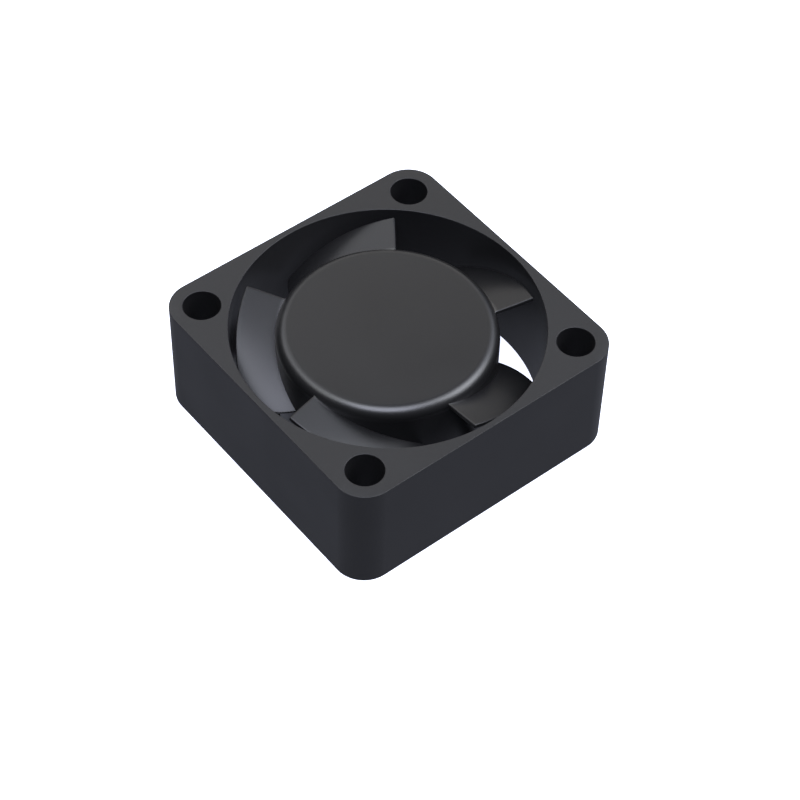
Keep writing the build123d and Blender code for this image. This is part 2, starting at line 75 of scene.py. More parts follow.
class HousingSizes(bpy.types.PropertyGroup):
    """Sizes of the moulded housing"""

    side: length("Side", "Outer width and depth of the square duct", 25.0)
    height: length("Height", "From the outlet face to the inlet face", 10.0)
    corner_r: length("Corner radius", "Radius of the four upright corners", 2.5)
    edge_r: length("Edge radius", "Rounding of the duct's outer edges", 0.05)
    rim_r: length("Rim radius", "Rounding of the bore's and the holes' rims", 0.06)
    bore_r: length("Bore radius", "Radius of the air duct", 12.0)
    hole_reach: length("Hole reach", "From the centre planes to the screw holes", 10.0)
    hole_r: length("Hole radius", "Radius of the screw holes", 1.45)
    base_r: length("Base radius", "Radius of the motor base", 8.7)
    base_low: length("Base recess", "Height of the base above the outlet face", 0.2)
    base_top: length("Base top", "Height of the base's upper face", 1.3)
    strut_w: length("Strut width", "Width of the three plain struts", 1.5)
    strut_h: length("Strut height", "Height of the three plain struts", 1.1)
    lead_strut_w: length("Lead strut width", "Width of the strut over the leads", 2.8)
    lead_strut_h: length("Lead strut height", "Height of the strut over the leads", 1.4)
    channel_w: length("Channel width", "Width of the channel for the leads", 1.8)
    channel_h: length("Channel height", "Depth of the channel above the base's face", 0.7)
    channel_r: length("Channel start", "Where the channel starts, from the rotor axis", 5.8)
    slot_l: length("Slot length", "Length of the slot that lets the leads through the base", 1.1)


class ImpellerSizes(bpy.types.PropertyGroup):
    """Sizes of the hub and its blades"""

    hub_r: length("Hub radius", "Outer radius of the hub", 8.5)
    hub_top: length("Hub top", "Height of the hub's closed face", 9.7)
    hub_wall: length("Hub wall", "Thickness of the hub's skirt and top", 0.6)
    hub_edge_r: length("Hub edge radius", "Rounding of the hub's upper edge", 0.9)
    skirt_low: length("Skirt height", "Height of the skirt's lower rim", 1.8)
    tip_r: length("Tip radius", "Radius of the blade tips", 11.5)
    blade_t: length("Blade thickness", "Thickness of a blade", 0.34)
    blade_edge_r: length("Blade edge radius", "Rounding of a blade's edges", 0.09)
    blade_count: IntProperty(name="Blades", description="Number of blades", default=5, min=2, max=12)


class WindingSizes(bpy.types.PropertyGroup):
    """Sizes of the four coils"""

    wire_d: length("Wire diameter", "Diameter of the enamelled wire", 0.15)
    layers: IntProperty(name="Layers", description="Layers of wire on each arm", default=5, min=1, max=5)
    inner_r: length("Inner end", "Start of a coil, from the rotor axis", 3.375)
    outer_r: length("Outer end", "End of a coil, from the rotor axis", 5.04)
    half_w: length("Half width", "From the arm's middle to the outside of a coil", 1.83)
    bend_r: length("Bend radius", "Radius of the outer turns at a coil's corners", 0.80)


class FanColours(bpy.types.PropertyGroup):
    """Base colours of the finishes"""

    housing: colour("Housing", "Black moulding of the housing", (0.0100, 0.0100, 0.0110))
    impeller: colour("Impeller", "Black moulding of the impeller", (0.0092, 0.0092, 0.0099))


def in_mm(group):
    """The sizes of a property group as a dictionary in millimetres."""
    sizes = {}
    for name in group.__annotations__:
        value = getattr(group, name)
        sizes[name] = value / MM if isinstance(value, float) else value
    return sizes


# Mesh work, in millimetres until a piece is finished

ROUND_STEPS = 160
HOLE_STEPS = 64
CORNER_STEPS = 5
EDGE_STEPS = 3
FINE_STEPS = 2
SHARP_ANGLE = radians(40)
MERGE_MM = 0.0005


def bevel(bm, geom, offset, segments, affect="EDGES"):
    """Round edges or wire corners by an offset in millimetres."""
    bmesh.ops.bevel(bm, geom=list(geom), offset=offset, offset_type="OFFSET", segments=segments, profile=0.5,
                    affect=affect, material=-1, clamp_overlap=True)


def turn(bm, outline, steps=ROUND_STEPS, centre=(0.0, 0.0), closed=False):
    """Spin an outline of (radius, height[, corner radius]) points once round an upright axis."""
    old = set(bm.verts)
    corners = [bm.verts.new((centre[0] + point[0], centre[1], point[1])) for point in outline]
    following = corners[1:] + corners[:1] if closed else corners[1:]
    for corner, after in zip(corners, following):
        bm.edges.new((corner, after))
    for corner, point in zip(corners, outline):
        if len(point) == 3:
            bevel(bm, [corner], point[2], CORNER_STEPS, affect="VERTICES")
    wire = [v for v in bm.verts if v not in old]
    edges = list(dict.fromkeys(e for v in wire for e in v.link_edges))
    bmesh.ops.spin(bm, geom=wire + edges, cent=(*centre, 0), axis=(0, 0, 1), angle=2 * pi, steps=steps,
                   use_merge=True)


def bar(bm, size, low, angle, reach):
    """Box of (length, width, height) whose near end is at a distance from the axis."""
    place = Matrix.Rotation(angle, 4, "Z") @ Matrix.Translation((reach + size[0] / 2, 0, low + size[2] / 2))
    bmesh.ops.create_cube(bm, size=1.0, matrix=place @ Matrix.Diagonal((*size, 1.0)))


def climb(edge):
    """Height difference between an edge's ends."""
    return abs(edge.verts[0].co.z - edge.verts[1].co.z)


def starts_at(edge, height):
    """Whether an edge's first end is at a height."""
    return abs(edge.verts[0].co.z - height) < MERGE_MM


def as_object(bm, name):
    """Mesh object in millimetres with merged points and outward faces."""
    bmesh.ops.remove_doubles(bm, verts=bm.verts, dist=MERGE_MM)
    bmesh.ops.recalc_face_normals(bm, faces=bm.faces)
    if bm.calc_volume(signed=True) < 0:
        bmesh.ops.reverse_faces(bm, faces=bm.faces)
    mesh = bpy.data.meshes.new(name)
    bm.to_mesh(mesh)
    bm.free()
    obj = bpy.data.objects.new(name, mesh)
    bpy.context.scene.collection.objects.link(obj)
    return obj


def combined(first, others, operation):
    """The first solid with the others joined to it or cut from it."""
    for other in others:
        change = first.modifiers.new("combine", "BOOLEAN")
        change.operation = operation
        change.solver = "EXACT"
        change.object = other
    bpy.context.view_layer.update()
    evaluated = first.evaluated_get(bpy.context.evaluated_depsgraph_get())
    mesh = bpy.data.meshes.new_from_object(evaluated)
    first.modifiers.clear()
    first.data = mesh
    for other in others:
        bpy.data.objects.remove(other)
    return first


def finished(obj, name, body, slot, finish, *nodes):
    """Scale a piece to metres, shade it, parent it to the empty of the body it rides on and hide the imported
    nodes it stands for.
    """
    obj.name = name
    obj.data.name = name
    obj.data.transform(Matrix.Scale(MM, 4))
    obj.data.materials.clear()
    obj.data.materials.append(finish)
    obj.data.shade_smooth()
    obj.data.set_sharp_from_angle(angle=SHARP_ANGLE)
    weighted = obj.modifiers.new("flat faces stay flat", "WEIGHTED_NORMAL")
    weighted.keep_sharp = True
    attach(obj, body)
    if nodes:
        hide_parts(*nodes)


# Finishes

IMPELLER_ROUGHNESS = 0.34
HOUSING_ROUGHNESS = 0.46

# Patterns: scales in features per metre, track pitch and wander in metres, the rest as shares
GRAIN_SCALE = 9000.0
GRAIN_DETAIL = 3.0
GRAIN_ROUGHNESS = 0.6
GRAIN_DRIFT = 0.5
GRAIN_CLOUD = 0.02
GRAIN_GLOSS = 0.12
TURNING_SCALE = 12000.0
TURNING_CLOUD = 0.06
TURNING_GLOSS = 0.16
TURNING_TONE = 0.7
TRACK_PITCH = 0.0009
TRACK_SHARE = 0.55
TRACK_TONE = 0.75
TRACK_STEEPNESS = 12.0
WANDER_SCALE = 260.0
WANDER = 0.0016
WEAVE_SCALE = 14000.0
WEAVE_HEIGHT = 0.08

# Where the glossy edge's three fades start and end, in metres
FADE_INSIDE = (0.00775, 0.0081)
FADE_OUTSIDE = (0.0087, 0.0085)
FADE_BELOW = (0.0085, 0.0089)

# Sockets of a Mix node that mixes colours
MIX_DARK = 6
MIX_LIGHT = 7
MIX_RESULT = 2


def node_group(name, inputs, outputs):
    """Shader node group with named float sockets, and its input and output nodes."""
    group = bpy.data.node_groups.new(name, "ShaderNodeTree")
    for label, default in inputs:
        socket = group.interface.new_socket(name=label, in_out="INPUT", socket_type="NodeSocketFloat")
        socket.default_value = default
    for label in outputs:
        group.interface.new_socket(name=label, in_out="OUTPUT", socket_type="NodeSocketFloat")
    return group, group.nodes.new("NodeGroupInput"), group.nodes.new("NodeGroupOutput")


def maths(tree, operation, first, second=0.0, third=0.0):
    """Output of a Math node whose operands are sockets or numbers."""
    node = tree.nodes.new("ShaderNodeMath")
    node.operation = operation
    for socket, value in zip(node.inputs, (first, second, third)):
        if isinstance(value, (int, float)):
            socket.default_value = value
        else:
            tree.links.new(value, socket)
    return node.outputs[0]


def noise(tree, vector, scale, detail=2.0, roughness=0.5):
    """Factor of a noise texture whose scale is a socket or a number, in features per metre."""
    node = tree.nodes.new("ShaderNodeTexNoise")
    node.inputs["Detail"].default_value = detail
    node.inputs["Roughness"].default_value = roughness
    if isinstance(scale, (int, float)):
        node.inputs["Scale"].default_value = scale
    else:
        tree.links.new(scale, node.inputs["Scale"])
    tree.links.new(vector, node.inputs["Vector"])
    return node.outputs[0]


def object_point(tree):
    """Object coordinates of the shaded point."""
    return tree.nodes.new("ShaderNodeTexCoord").outputs["Object"]


def about_axis(tree):
    """Object coordinates of the shaded point, its distance from the rotor axis and its height."""
    point = object_point(tree)
    apart = tree.nodes.new("ShaderNodeSeparateXYZ")
    tree.links.new(point, apart.inputs[0])
    x, y, height = apart.outputs
    squares = maths(tree, "ADD", maths(tree, "MULTIPLY", x, x), maths(tree, "MULTIPLY", y, y))
    return point, maths(tree, "SQRT", squares), height


def centred(tree, value, span):
    """A socket between 0 and 1 as a shift of up to half the span either way."""
    return maths(tree, "MULTIPLY_ADD", value, span, -span / 2)


def blend(tree, first, second, share):
    """Weighted mean of two sockets, with the share of the first."""
    return maths(tree, "MULTIPLY_ADD", first, share, maths(tree, "MULTIPLY", second, 1 - share))


def grain_group():
    """Grain of a moulded or cast surface: tone, roughness shift and height."""
    group, given, put = node_group("surface grain", [("Scale", GRAIN_SCALE), ("Drift", GRAIN_DRIFT)],
                                   ["Tone", "Gloss", "Height"])
    where = object_point(group)
    scale = given.outputs["Scale"]
    fine = noise(group, where, scale, GRAIN_DETAIL, GRAIN_ROUGHNESS)
    broad = noise(group, where, maths(group, "MULTIPLY", scale, GRAIN_CLOUD), 1.0)
    drift = maths(group, "MULTIPLY", maths(group, "SUBTRACT", broad, 0.5), given.outputs["Drift"])
    group.links.new(maths(group, "ADD", fine, drift), put.inputs["Tone"])
    group.links.new(centred(group, broad, GRAIN_GLOSS), put.inputs["Gloss"])
    group.links.new(fine, put.inputs["Height"])
    return group


def turning_group():
    """Fine rings about the rotor axis, as a lathe or a grinding wheel leaves them."""
    group, given, put = node_group("turning marks", [("Scale", TURNING_SCALE)], ["Tone", "Gloss", "Height"])
    where, radius, height = about_axis(group)
    line = group.nodes.new("ShaderNodeCombineXYZ")
    group.links.new(radius, line.inputs[0])
    group.links.new(height, line.inputs[2])
    marks = noise(group, line.outputs[0], given.outputs["Scale"])
    cloud = noise(group, where, maths(group, "MULTIPLY", given.outputs["Scale"], TURNING_CLOUD))
    group.links.new(blend(group, marks, cloud, TURNING_TONE), put.inputs["Tone"])
    group.links.new(centred(group, cloud, TURNING_GLOSS), put.inputs["Gloss"])
    group.links.new(marks, put.inputs["Height"])
    return group


def track_group():
    """Copper tracks under the solder mask: broken rings about the rotor axis."""
    inputs = [("Track pitch", TRACK_PITCH), ("Track share", TRACK_SHARE)]
    group, given, put = node_group("copper tracks", inputs, ["Tone", "Height"])
    where, radius, _ = about_axis(group)
    drift = maths(group, "MULTIPLY_ADD", noise(group, where, WANDER_SCALE, 0.0), WANDER, radius)
    share = maths(group, "FRACT", maths(group, "DIVIDE", drift, given.outputs["Track pitch"]))
    ring = maths(group, "ABSOLUTE", maths(group, "MULTIPLY_ADD", share, 2.0, -1.0))
    inside = maths(group, "SUBTRACT", given.outputs["Track share"], ring)
    copper = maths(group, "MULTIPLY", inside, TRACK_STEEPNESS)
    copper = maths(group, "MINIMUM", maths(group, "MAXIMUM", copper, 0.0), 1.0)
    weave = noise(group, where, WEAVE_SCALE)
    group.links.new(blend(group, copper, weave, TRACK_TONE), put.inputs["Tone"])
    group.links.new(maths(group, "MULTIPLY_ADD", weave, WEAVE_HEIGHT, copper), put.inputs["Height"])
    return group


def ramp_up(tree, value, start, end):
    """Mask that climbs from 0 to 1 between two values of a socket."""
    node = tree.nodes.new("ShaderNodeMapRange")
    node.inputs["From Min"].default_value = start
    node.inputs["From Max"].default_value = end
    tree.links.new(value, node.inputs["Value"])
    return node.outputs["Result"]


def edge_group():
    """Ring of extra gloss on the hub's rounded upper edge, for the strong highlight it shows."""
    group, _, put = node_group("glossy edge", [], ["Shine"])
    _, radius, height = about_axis(group)
    inside = ramp_up(group, radius, *FADE_INSIDE)
    outside = ramp_up(group, radius, *FADE_OUTSIDE)
    above = ramp_up(group, height, *FADE_BELOW)
    shine = maths(group, "MULTIPLY", maths(group, "MULTIPLY", inside, outside), above)
    group.links.new(shine, put.inputs["Shine"])
    return group


def effect(name, make):
    """The named node group, made the first time it is asked for."""
    return bpy.data.node_groups.get(name) or make()


GRAINED = ("surface grain", grain_group)
TURNED = ("turning marks", turning_group)
TRACKED = ("copper tracks", track_group)


def material(name, base, roughness, metallic=0.0, pattern=GRAINED, contrast=0.15, bump=0.1, relief=0.00001,
             **constants):
    """Procedural finish: a pattern group shades the base colour, shifts the gloss and raises the surface."""
    made = bpy.data.materials.new(name)
    made.use_nodes = True
    tree = made.node_tree
    shader = tree.nodes["Principled BSDF"]
    shader.inputs["Metallic"].default_value = metallic
    for label, value in constants.items():
        shader.inputs[label.replace("_", " ")].default_value = value
    group = tree.nodes.new("ShaderNodeGroup")
    group.node_tree = effect(*pattern)
    shade = tree.nodes.new("ShaderNodeMix")
    shade.data_type = "RGBA"
    shade.inputs[MIX_DARK].default_value = (*[c * (1 - contrast) for c in base], 1)
    shade.inputs[MIX_LIGHT].default_value = (*[min(c * (1 + contrast), 1) for c in base], 1)
    tree.links.new(group.outputs["Tone"], shade.inputs[0])
    tree.links.new(shade.outputs[MIX_RESULT], shader.inputs["Base Color"])
    if "Gloss" in group.outputs:
        tree.links.new(maths(tree, "ADD", group.outputs["Gloss"], roughness), shader.inputs["Roughness"])
    else:
        shader.inputs["Roughness"].default_value = roughness
    raised = tree.nodes.new("ShaderNodeBump")
    raised.inputs["Strength"].default_value = bump
    raised.inputs["Distance"].default_value = relief
    tree.links.new(group.outputs["Height"], raised.inputs["Height"])
    tree.links.new(raised.outputs[0], shader.inputs["Normal"])
    return made


def moulding(name, base, roughness):
    """Black moulded plastic with a fine eroded grain."""
    return material(name, tuple(base), roughness, contrast=0.10, bump=0.05)


def impeller_moulding(base):
    """Black moulded plastic, glossier round the hub's upper edge."""
    made = moulding("impeller moulding", base, IMPELLER_ROUGHNESS)
    tree = made.node_tree
    shader = tree.nodes["Principled BSDF"]
    shader.inputs["Coat Roughness"].default_value = IMPELLER_ROUGHNESS
    ring = tree.nodes.new("ShaderNodeGroup")
    ring.node_tree = effect("glossy edge", edge_group)
    tree.links.new(ring.outputs["Shine"], shader.inputs["Coat Weight"])
    return made


# Housing

STRUT_ANGLES = (20.0, 110.0, 200.0, 290.0)
LEAD_ANGLE = 110.0
STRUT_EDGE_R = 0.45
STRUT_BURY = 1.0
STRUT_STEPS = 6
DUCT_CORNER_STEPS = 20
LEVEL_NORMAL = 0.99
CUT_PAST = 1.0

# Motor base: radii, heights and roundings of its centre hole, tube seat, collar and board step
CENTRE_HOLE_R = 2.1
SEAT_R = 2.5
COLLAR_R = 3.1
STEP_R = 3.9
SEAT_Z = 0.5
STEP_Z = 1.5
COLLAR_Z = 2.1
FINE_EDGE_R = 0.05
SMALL_EDGE_R = 0.06
COLLAR_EDGE_R = 0.1
BASE_UPPER_R = 0.25
BASE_LOWER_R = 0.12


def duct(s):
    """Square duct with its bore and screw holes."""
    bm = bmesh.new()
    side, height, rim, reach = s["side"], s["height"], s["rim_r"], s["hole_reach"]
    block = Matrix.Translation((0, 0, height / 2)) @ Matrix.Diagonal((side, side, height, 1.0))
    bmesh.ops.create_cube(bm, size=1.0, matrix=block)
    bevel(bm, [e for e in bm.edges if climb(e) > height / 2], s["corner_r"], DUCT_CORNER_STEPS)
    bevel(bm, [e for e in bm.edges if climb(e) < MERGE_MM], s["edge_r"], EDGE_STEPS)
    bm.normal_update()
    bmesh.ops.delete(bm, geom=[f for f in bm.faces if abs(f.normal.z) > LEVEL_NORMAL], context="FACES_ONLY")
    wells = [((0.0, 0.0), s["bore_r"], ROUND_STEPS)]
    wells += [((x, y), s["hole_r"], HOLE_STEPS) for x in (-reach, reach) for y in (-reach, reach)]
    for centre, radius, steps in wells:
        mouth = radius + 2 * rim
        turn(bm, [(mouth, 0), (radius, 0, rim), (radius, height, rim), (mouth, height)], steps, centre)
    bmesh.ops.remove_doubles(bm, verts=bm.verts, dist=MERGE_MM)
    for level in (0.0, height):
        border = [e for e in bm.edges if e.is_boundary and starts_at(e, level)]
        bmesh.ops.triangle_fill(bm, use_beauty=True, use_dissolve=False, edges=border, normal=(0, 0, 1))
    return as_object(bm, "duct")


def motor_base(s):
    """Base disc with the board's step, the collar and the bearing tube's seat."""
    bm = bmesh.new()
    low, top = s["base_low"], s["base_top"]
    outline = [(CENTRE_HOLE_R, low, SMALL_EDGE_R), (CENTRE_HOLE_R, SEAT_Z, FINE_EDGE_R),
               (SEAT_R, SEAT_Z), (SEAT_R, COLLAR_Z, FINE_EDGE_R),
               (COLLAR_R, COLLAR_Z, COLLAR_EDGE_R), (COLLAR_R, STEP_Z, FINE_EDGE_R),
               (STEP_R, STEP_Z, SMALL_EDGE_R), (STEP_R, top, FINE_EDGE_R),
               (s["base_r"], top, BASE_UPPER_R), (s["base_r"], low, BASE_LOWER_R)]
    turn(bm, outline, closed=True)
    return as_object(bm, "motor base")


def strut(s, angle):
    """Strut from the motor base into the duct's wall, its upper edges rounded."""
    bm = bmesh.new()
    leads = angle == LEAD_ANGLE
    width, height = (s["lead_strut_w"], s["lead_strut_h"]) if leads else (s["strut_w"], s["strut_h"])
    low = s["base_low"]
    start = s["base_r"] - STRUT_BURY
    end = (s["bore_r"] + s["side"] / 2) / 2
    bar(bm, (end - start, width, height), low, radians(angle), start)
    bm.normal_update()
    long_edges = [e for e in bm.edges if abs(e.calc_length() - (end - start)) < MERGE_MM]
    upper = [e for e in long_edges if starts_at(e, low + height)]
    lower = [e for e in long_edges if starts_at(e, low)]
    bevel(bm, upper, STRUT_EDGE_R, STRUT_STEPS)
    bevel(bm, lower, s["rim_r"], FINE_STEPS)
    return as_object(bm, "strut")


def lead_cutters(s):
    """Channel under the lead strut and slot through the base to the board."""
    channel = (s["side"], s["channel_w"], s["base_low"] + s["channel_h"] + CUT_PAST)
    slot = (s["slot_l"], s["channel_w"], s["base_top"] + 2 * CUT_PAST)
    for size in (channel, slot):
        bm = bmesh.new()
        bar(bm, size, -CUT_PAST, radians(LEAD_ANGLE), s["channel_r"])
        yield as_object(bm, "cutter")


class FAN_OT_housing(bpy.types.Operator):
    """Build the moulded housing: duct, motor base, struts and lead channel"""

    bl_idname = "fan.housing"
    bl_label = "Housing"

    def execute(self, context):
        s = in_mm(context.scene.fan_housing)
        shell = combined(duct(s), [motor_base(s), *(strut(s, angle) for angle in STRUT_ANGLES)], "UNION")
        shell = combined(shell, list(lead_cutters(s)), "DIFFERENCE")
        finished(shell, "fan_housing", "housing", "housing_plastic",
                 moulding("housing moulding", context.scene.fan_colours.housing, HOUSING_ROUGHNESS), "frame")
        return {"FINISHED"}


# Impeller: lengths in millimetres, angles in degrees, bow and camber as shares

LEAD_SETBACK = 0.45
LEAD_ROOT_DROP = 0.5
LEAD_LAG = 1.6
BLADE_DEPTH = 4.5
WRAP_TIP = 45.0
WRAP_ROOT = 56.7
TRAIL_BOW = 0.3
CAMBER = 0.35
ROOT_BURY = 0.25
FIRST_BLADE = 49.0
CHORD_STEPS = 48
SPAN_STEPS = 24
NORMAL_STEP = 0.001
RIM_ANGLE = 60.0
CAVITY_EDGE_R = 0.4
SKIRT_EDGE_R = 0.08


def camber_point(s, height, radius, share):
    """Point of a blade's middle surface, share running from the leading to the trailing edge."""
    inboard = (s["tip_r"] - radius) / (s["tip_r"] - s["hub_r"])
    bowed = inboard * (1 + TRAIL_BOW * (1 - inboard))
    wrap = WRAP_TIP + (WRAP_ROOT - WRAP_TIP) * bowed + LEAD_LAG * inboard
    angle = radians(FIRST_BLADE - LEAD_LAG * inboard + wrap * share)
    lead_z = height - LEAD_SETBACK - LEAD_ROOT_DROP * inboard
    fall = share * (1 - CAMBER * (1 - share))
    return Vector((radius * cos(angle), radius * sin(angle), lead_z + (height - BLADE_DEPTH - lead_z) * fall))


def camber_normal(s, height, radius, share):
    """Unit normal of a blade's middle surface."""
    step = NORMAL_STEP
    along = camber_point(s, height, radius, share + step) - camber_point(s, height, radius, share - step)
    out = camber_point(s, height, radius + step, share) - camber_point(s, height, radius - step, share)
    return out.cross(along).normalized()


def is_rim(s, edge):
    """Whether an edge is on the free rim of a blade, outside the hub."""
    nearest = min(hypot(v.co.x, v.co.y) for v in edge.verts)
    return edge.calc_face_angle(0) > radians(RIM_ANGLE) and nearest > s["hub_r"] - ROOT_BURY / 2


def blade(s, height, turn_angle):
    """One pitched blade: two sheets about the middle surface, joined and rounded at their edges."""
    bm = bmesh.new()
    start = s["hub_r"] - ROOT_BURY
    for side in (1, -1):
        sheet = bmesh.ops.create_grid(bm, x_segments=SPAN_STEPS, y_segments=CHORD_STEPS, size=1.0)
        for v in sheet["verts"]:
            radius = start + (s["tip_r"] - start) * (v.co.x + 1) / 2
            share = (v.co.y + 1) / 2
            offset = camber_normal(s, height, radius, share) * side * s["blade_t"] / 2
            v.co = camber_point(s, height, radius, share) + offset
    bmesh.ops.bridge_loops(bm, edges=[e for e in bm.edges if e.is_boundary])
    bmesh.ops.recalc_face_normals(bm, faces=bm.faces)
    bevel(bm, [e for e in bm.edges if is_rim(s, e)], s["blade_edge_r"], EDGE_STEPS)
    bmesh.ops.rotate(bm, cent=(0, 0, 0), matrix=Matrix.Rotation(turn_angle, 3, "Z"), verts=bm.verts)
    return as_object(bm, "blade")


def hub(s):
    """Hub cup with its rounded upper edge."""
    bm = bmesh.new()
    ceiling = s["hub_top"] - s["hub_wall"]
    cavity = s["hub_r"] - s["hub_wall"]
    rim, top = s["skirt_low"], s["hub_top"]
    turn(bm, [(0, ceiling), (cavity, ceiling, CAVITY_EDGE_R), (cavity, rim, SKIRT_EDGE_R),
              (s["hub_r"], rim, SKIRT_EDGE_R), (s["hub_r"], top, s["hub_edge_r"]), (0, top)])
    return as_object(bm, "hub")


class FAN_OT_impeller(bpy.types.Operator):
    """Build the impeller: hub cup with its pitched blades"""

    bl_idname = "fan.impeller"
    bl_label = "Impeller"

    def execute(self, context):
        s = in_mm(context.scene.fan_impeller)
        height = context.scene.fan_housing.height / MM
        blades = [blade(s, height, 2 * pi * i / s["blade_count"]) for i in range(s["blade_count"])]
        finished(combined(hub(s), blades, "UNION"), "fan_impeller", "rotor", "impeller_plastic",
                 impeller_moulding(context.scene.fan_colours.impeller), "impeller")
        return {"FINISHED"}


# Windings, in millimetres: the bundle of turns is carried round the arm of its pole

FIRST_POLE = 20.0
POLE_COUNT = 4
BEND_STEPS = 8
BEAD_TURNS = (-60.0, -20.0, 20.0, 60.0)
COUNT_SLACK = 0.01


def beads(start, along, facing, count, wire_d):
    """Outline points of a row of wires seen end on, walking along it with the free side facing out."""
    for index in range(count):
        centre = start + along * (index + 0.5) * wire_d - facing * wire_d / 2
        for turned in BEAD_TURNS:
            yield centre + (facing * cos(radians(turned)) + along * sin(radians(turned))) * wire_d / 2


def straight(bm, loop, step):
    """Extrude a loop along a vector and return the far loop."""
    made = bmesh.ops.extrude_edge_only(bm, edges=[g for g in loop if isinstance(g, BMEdge)])["geom"]
    far = [g for g in made if isinstance(g, BMVert)]
    bmesh.ops.translate(bm, vec=step, verts=far)
    return far + [g for g in made if isinstance(g, BMEdge) and g.is_boundary]


def bend(bm, loop, centre):
    """Carry a loop round a quarter turn about an axis along the arm and return the far loop."""
    made = bmesh.ops.spin(bm, geom=loop, cent=centre, axis=(1, 0, 0), angle=-pi / 2, steps=BEND_STEPS)
    return [g for g in made["geom_last"] if isinstance(g, (BMVert, BMEdge))]


def winding(s, low, top, angle):
    """Coil of one pole between two heights, each turn and layer of wire standing out."""
    bm = bmesh.new()
    turns = int((s["outer_r"] - s["inner_r"]) / s["wire_d"] + COUNT_SLACK)
    depth = s["layers"] * s["wire_d"]
    first = Vector((s["inner_r"], 0, top - depth))
    right, up = Vector((1, 0, 0)), Vector((0, 0, 1))
    width = right * turns * s["wire_d"]
    outline = [*beads(first, up, -right, s["layers"], s["wire_d"]),
               *beads(first + up * depth, right, up, turns, s["wire_d"]),
               *beads(first + up * depth + width, -up, right, s["layers"], s["wire_d"]),
               first + width, first]
    corners = [bm.verts.new(point) for point in outline]
    loop = corners + [bm.edges.new(pair) for pair in zip(corners, corners[1:] + corners[:1])]
    side = s["half_w"] - s["bend_r"]
    rise = top - low - 2 * s["bend_r"]
    loop = straight(bm, loop, (0, side, 0))
    loop = bend(bm, loop, (0, side, top - s["bend_r"]))
    loop = straight(bm, loop, (0, 0, -rise))
    loop = bend(bm, loop, (0, side, low + s["bend_r"]))
    loop = straight(bm, loop, (0, -2 * side, 0))
    loop = bend(bm, loop, (0, -side, low + s["bend_r"]))
    loop = straight(bm, loop, (0, 0, rise))
    loop = bend(bm, loop, (0, -side, top - s["bend_r"]))
    straight(bm, loop, (0, side, 0))
    bmesh.ops.rotate(bm, cent=(0, 0, 0), matrix=Matrix.Rotation(radians(angle), 3, "Z"), verts=bm.verts)
    return as_object(bm, "winding")


class FAN_OT_windings(bpy.types.Operator):
    """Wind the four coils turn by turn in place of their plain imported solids"""

    bl_idname = "fan.windings"
    bl_label = "Windings"

    def execute(self, context):
        s = in_mm(context.scene.fan_windings)
        for index in range(POLE_COUNT):
            node = f"coil_{index + 1}"
            low, top = (corner[2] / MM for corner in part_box(node))
            coil = winding(s, low, top, FIRST_POLE + index * 360 / POLE_COUNT)
            finished(coil, f"winding_{index + 1}", "housing", "enamelled_copper", made_once(enamelled_wire),
                     node)
        return {"FINISHED"}


# Finishes of the metal, magnet, bobbins, wire and circuit board

def drawn_steel():
    """Zinc-plated deep-drawn sheet of the flux cup."""
    return material("drawn steel", (0.42, 0.43, 0.45), 0.34, 1.0, TURNED, contrast=0.10, bump=0.12)


def bonded_ferrite():
    """Grey-brown bonded ferrite of the ring magnet."""
    return material("bonded ferrite", (0.035, 0.033, 0.034), 0.62, 0.0, GRAINED, contrast=0.30, bump=0.30)


def turned_brass():
    """Lathe-turned brass of the boss and the bearing tube."""
    return material("turned brass", (0.62, 0.42, 0.17), 0.30, 1.0, TURNED, contrast=0.10, bump=0.15)


def ground_steel():
    """Centreless-ground steel of the shaft."""
    return material("ground steel", (0.60, 0.60, 0.62), 0.18, 1.0, TURNED, contrast=0.06, bump=0.05)


def spring_wire():
    """Drawn spring wire and the retaining ring's strip."""
    return material("spring wire", (0.36, 0.36, 0.37), 0.30, 1.0, GRAINED, contrast=0.10, bump=0.05)


def honed_steel():
    """Honed chrome steel of the bearing rings, shields and balls."""
    return material("honed steel", (0.60, 0.60, 0.62), 0.16, 1.0, TURNED, contrast=0.05, bump=0.04)


def pressed_steel():
    """Pressed strip of the bearing cages."""
    return material("pressed steel", (0.50, 0.50, 0.51), 0.28, 1.0, GRAINED, contrast=0.08, bump=0.06)


def silicon_steel():
    """Punched silicon steel of the laminations, with its grey coating."""
    return material("silicon steel", (0.27, 0.28, 0.30), 0.42, 1.0, GRAINED, contrast=0.20, bump=0.15)


def bobbin_moulding():
    """Natural glass-filled moulding of the two bobbin halves."""
    return material("bobbin moulding", (0.46, 0.43, 0.36), 0.48, 0.0, GRAINED, contrast=0.08, bump=0.12)


def enamelled_wire():
    """Copper wire under a clear amber enamel."""
    return material("enamelled wire", (0.63, 0.23, 0.085), 0.30, 0.9, GRAINED, contrast=0.22, bump=0.05,
                    Coat_Weight=0.6, Coat_Roughness=0.12)


def masked_laminate():
    """Glass-fibre board under green solder mask."""
    return material("masked laminate", (0.016, 0.085, 0.036), 0.36, 0.0, TRACKED, contrast=0.32, bump=0.5,
                    relief=0.00003, Coat_Weight=0.3, Coat_Roughness=0.2)


def moulded_resin():
    """Black epoxy of the driver and the resistor."""
    return material("moulded resin", (0.020, 0.020, 0.021), 0.52, 0.0, GRAINED, contrast=0.15, bump=0.20)


def fired_ceramic():
    """Tan fired ceramic of the capacitor."""
    return material("fired ceramic", (0.38, 0.27, 0.17), 0.45, 0.0, GRAINED, contrast=0.15, bump=0.10)


def tinned_metal():
    """Tin and solder of the pins, leads, pads and terminations."""
    return material("dull tin", (0.60, 0.60, 0.58), 0.32, 1.0, GRAINED, contrast=0.12, bump=0.15)


